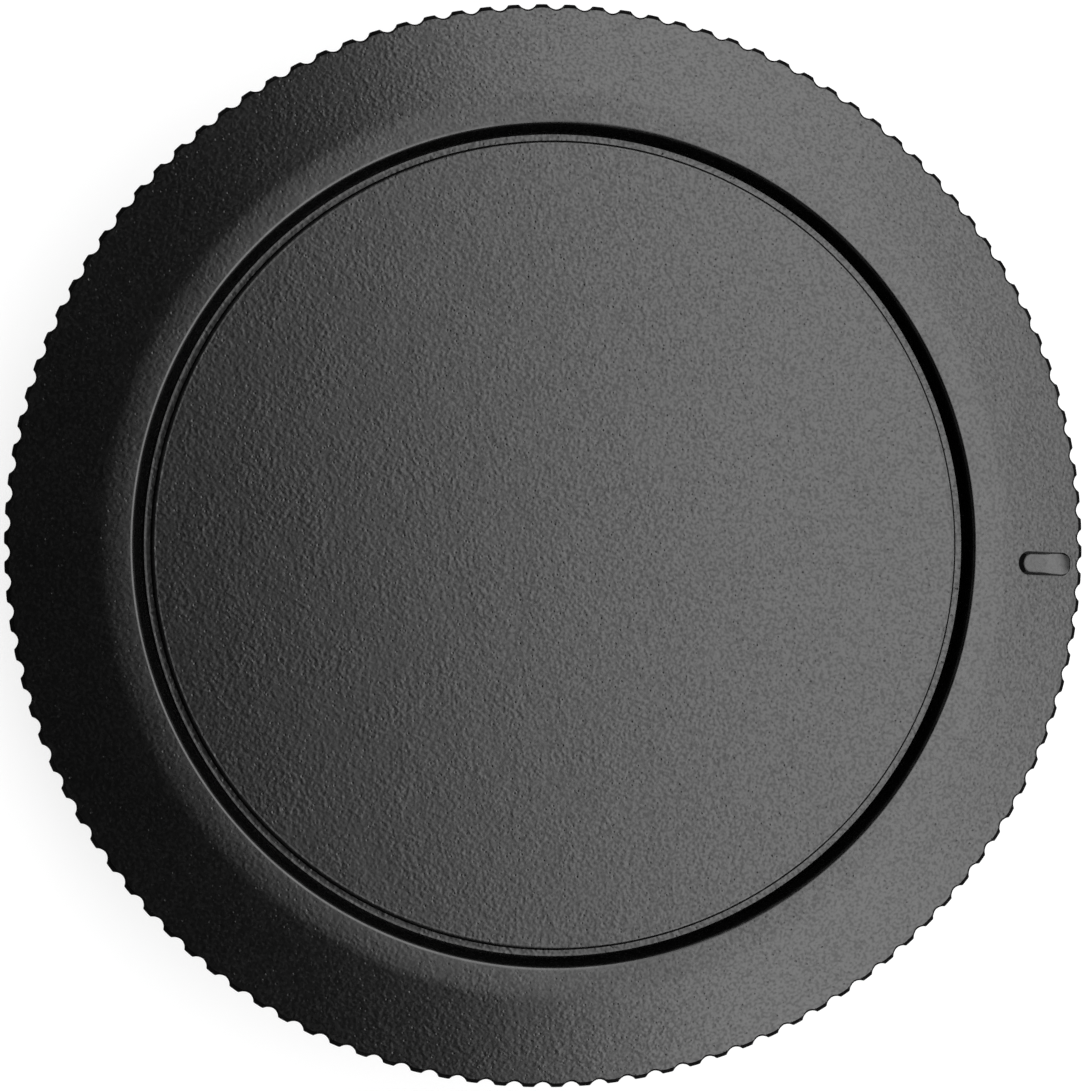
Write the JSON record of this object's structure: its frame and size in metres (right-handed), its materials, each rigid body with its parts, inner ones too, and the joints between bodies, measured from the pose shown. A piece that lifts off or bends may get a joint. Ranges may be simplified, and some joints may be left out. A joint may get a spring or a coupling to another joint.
{
  "type": "camera body cap",
  "caption": "Round bayonet cap that covers a camera's lens mount, with a raised ring, a fluted grip rim and an index mark.",
  "frame": {"origin": "middle of the collar's end face, which the cap rests on when it lies face up", "axes": "+Z out of the front face along the cap's axis, +X from the axis towards the index mark"},
  "size_m": [0.0602, 0.0602, 0.0092],
  "materials": {
    "black_plastic": "fine spark-eroded grain, matt black"
  },
  "bodies": {
    "root": {"body_cap": "black_plastic"}
  },
  "joints": []
}
